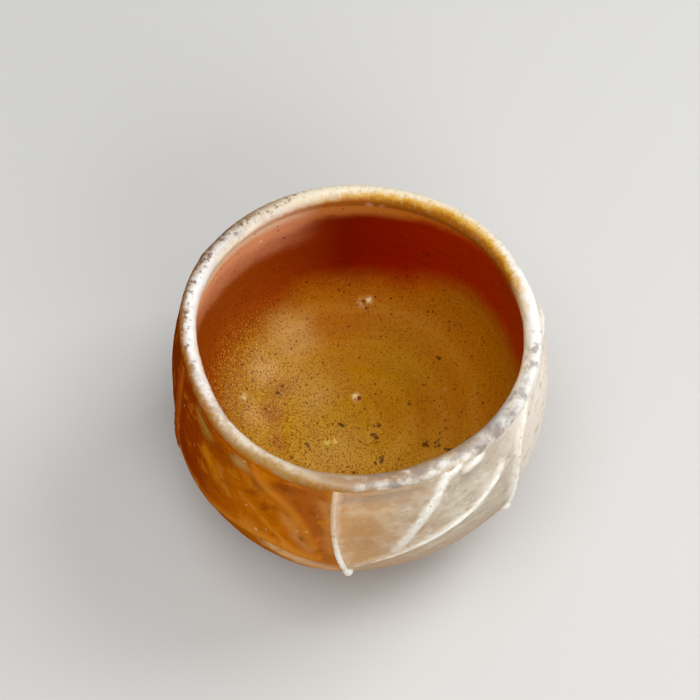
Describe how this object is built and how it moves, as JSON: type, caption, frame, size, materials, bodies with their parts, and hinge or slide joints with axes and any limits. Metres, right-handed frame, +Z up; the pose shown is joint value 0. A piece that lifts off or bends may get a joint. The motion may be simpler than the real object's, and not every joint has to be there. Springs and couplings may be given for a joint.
{
  "type": "teacup",
  "caption": "Squat rounded yunomi teacup in stoneware: open bowl with a rolled lip, amber glaze inside, white glazed lip, raised slip lines outside and a turned foot ring.",
  "frame": {"origin": "centre of the foot's underside, on the table", "axes": "+Z up out of the mouth; the front spine of slip is near -Y and +X is to its right"},
  "size_m": [0.09, 0.0911, 0.062],
  "materials": {
    "flashed_clay": "satin, flashed from amber to cream by the kiln",
    "foot_clay": "bare toasted clay, matt",
    "amber_glaze": "glossy transparent amber with iron specks",
    "white_glaze": "satin white with brown specks",
    "white_slip": "satin white slip"
  },
  "bodies": {
    "root": {"clay_body": "flashed_clay", "foot_ring": "foot_clay", "liner_glaze": "amber_glaze", "lip_glaze": "white_glaze", "spine_bead_1": "white_slip", "spine_bead_2": "white_slip", "spine_bead_3": "white_slip", "spine_bead_4": "white_slip", "spine_bead_5": "white_slip", "spine_bead_6": "white_slip", "sweep_bead_1": "white_slip", "sweep_bead_2": "white_slip", "sweep_bead_3": "white_slip", "sweep_bead_4": "white_slip", "vein_bead_1": "white_slip", "vein_bead_2": "white_slip", "vein_bead_3": "white_slip", "vein_bead_4": "white_slip"}
  },
  "joints": []
}
